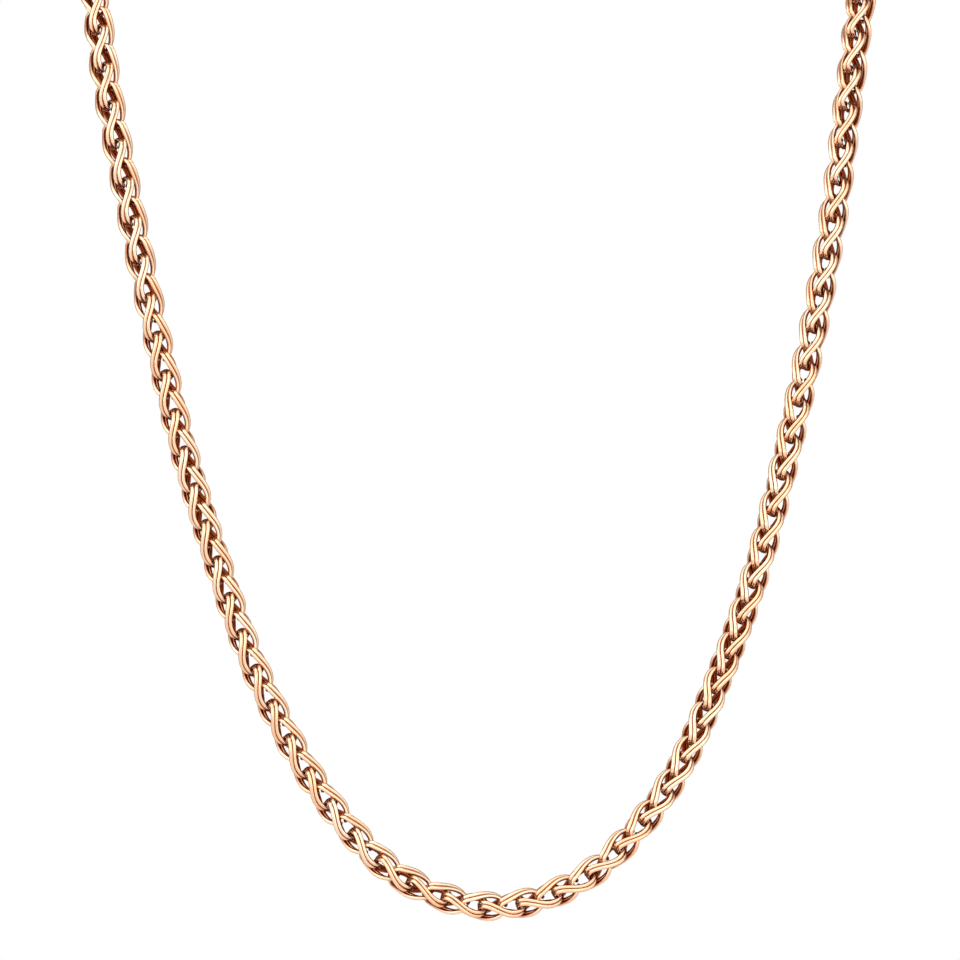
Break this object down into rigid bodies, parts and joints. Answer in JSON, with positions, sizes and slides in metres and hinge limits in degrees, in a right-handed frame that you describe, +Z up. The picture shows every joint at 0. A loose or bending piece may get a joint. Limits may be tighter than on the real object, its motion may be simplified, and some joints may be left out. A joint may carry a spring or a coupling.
{
  "type": "foxtail chain necklace",
  "caption": "Polished rose gold foxtail chain of twisted oval links woven like a wheat ear, hanging in a long U from the nape, with a plain ring clasp between two end rings.",
  "frame": {"origin": "the middle of the gap in the chain at the nape, where the clasp lies and the chain is held up", "axes": "+Z up, the front of the necklace towards -Y, +X to the right as the picture shows it"},
  "size_m": [0.097, 0.0885, 0.1431],
  "materials": {
    "chain": "polished rose gold",
    "end_rings": "polished rose gold",
    "clasp": "polished rose gold"
  },
  "bodies": {
    "root": {"chain": "chain", "left_end_ring": "end_rings", "right_end_ring": "end_rings", "clasp": "clasp"}
  },
  "joints": []
}
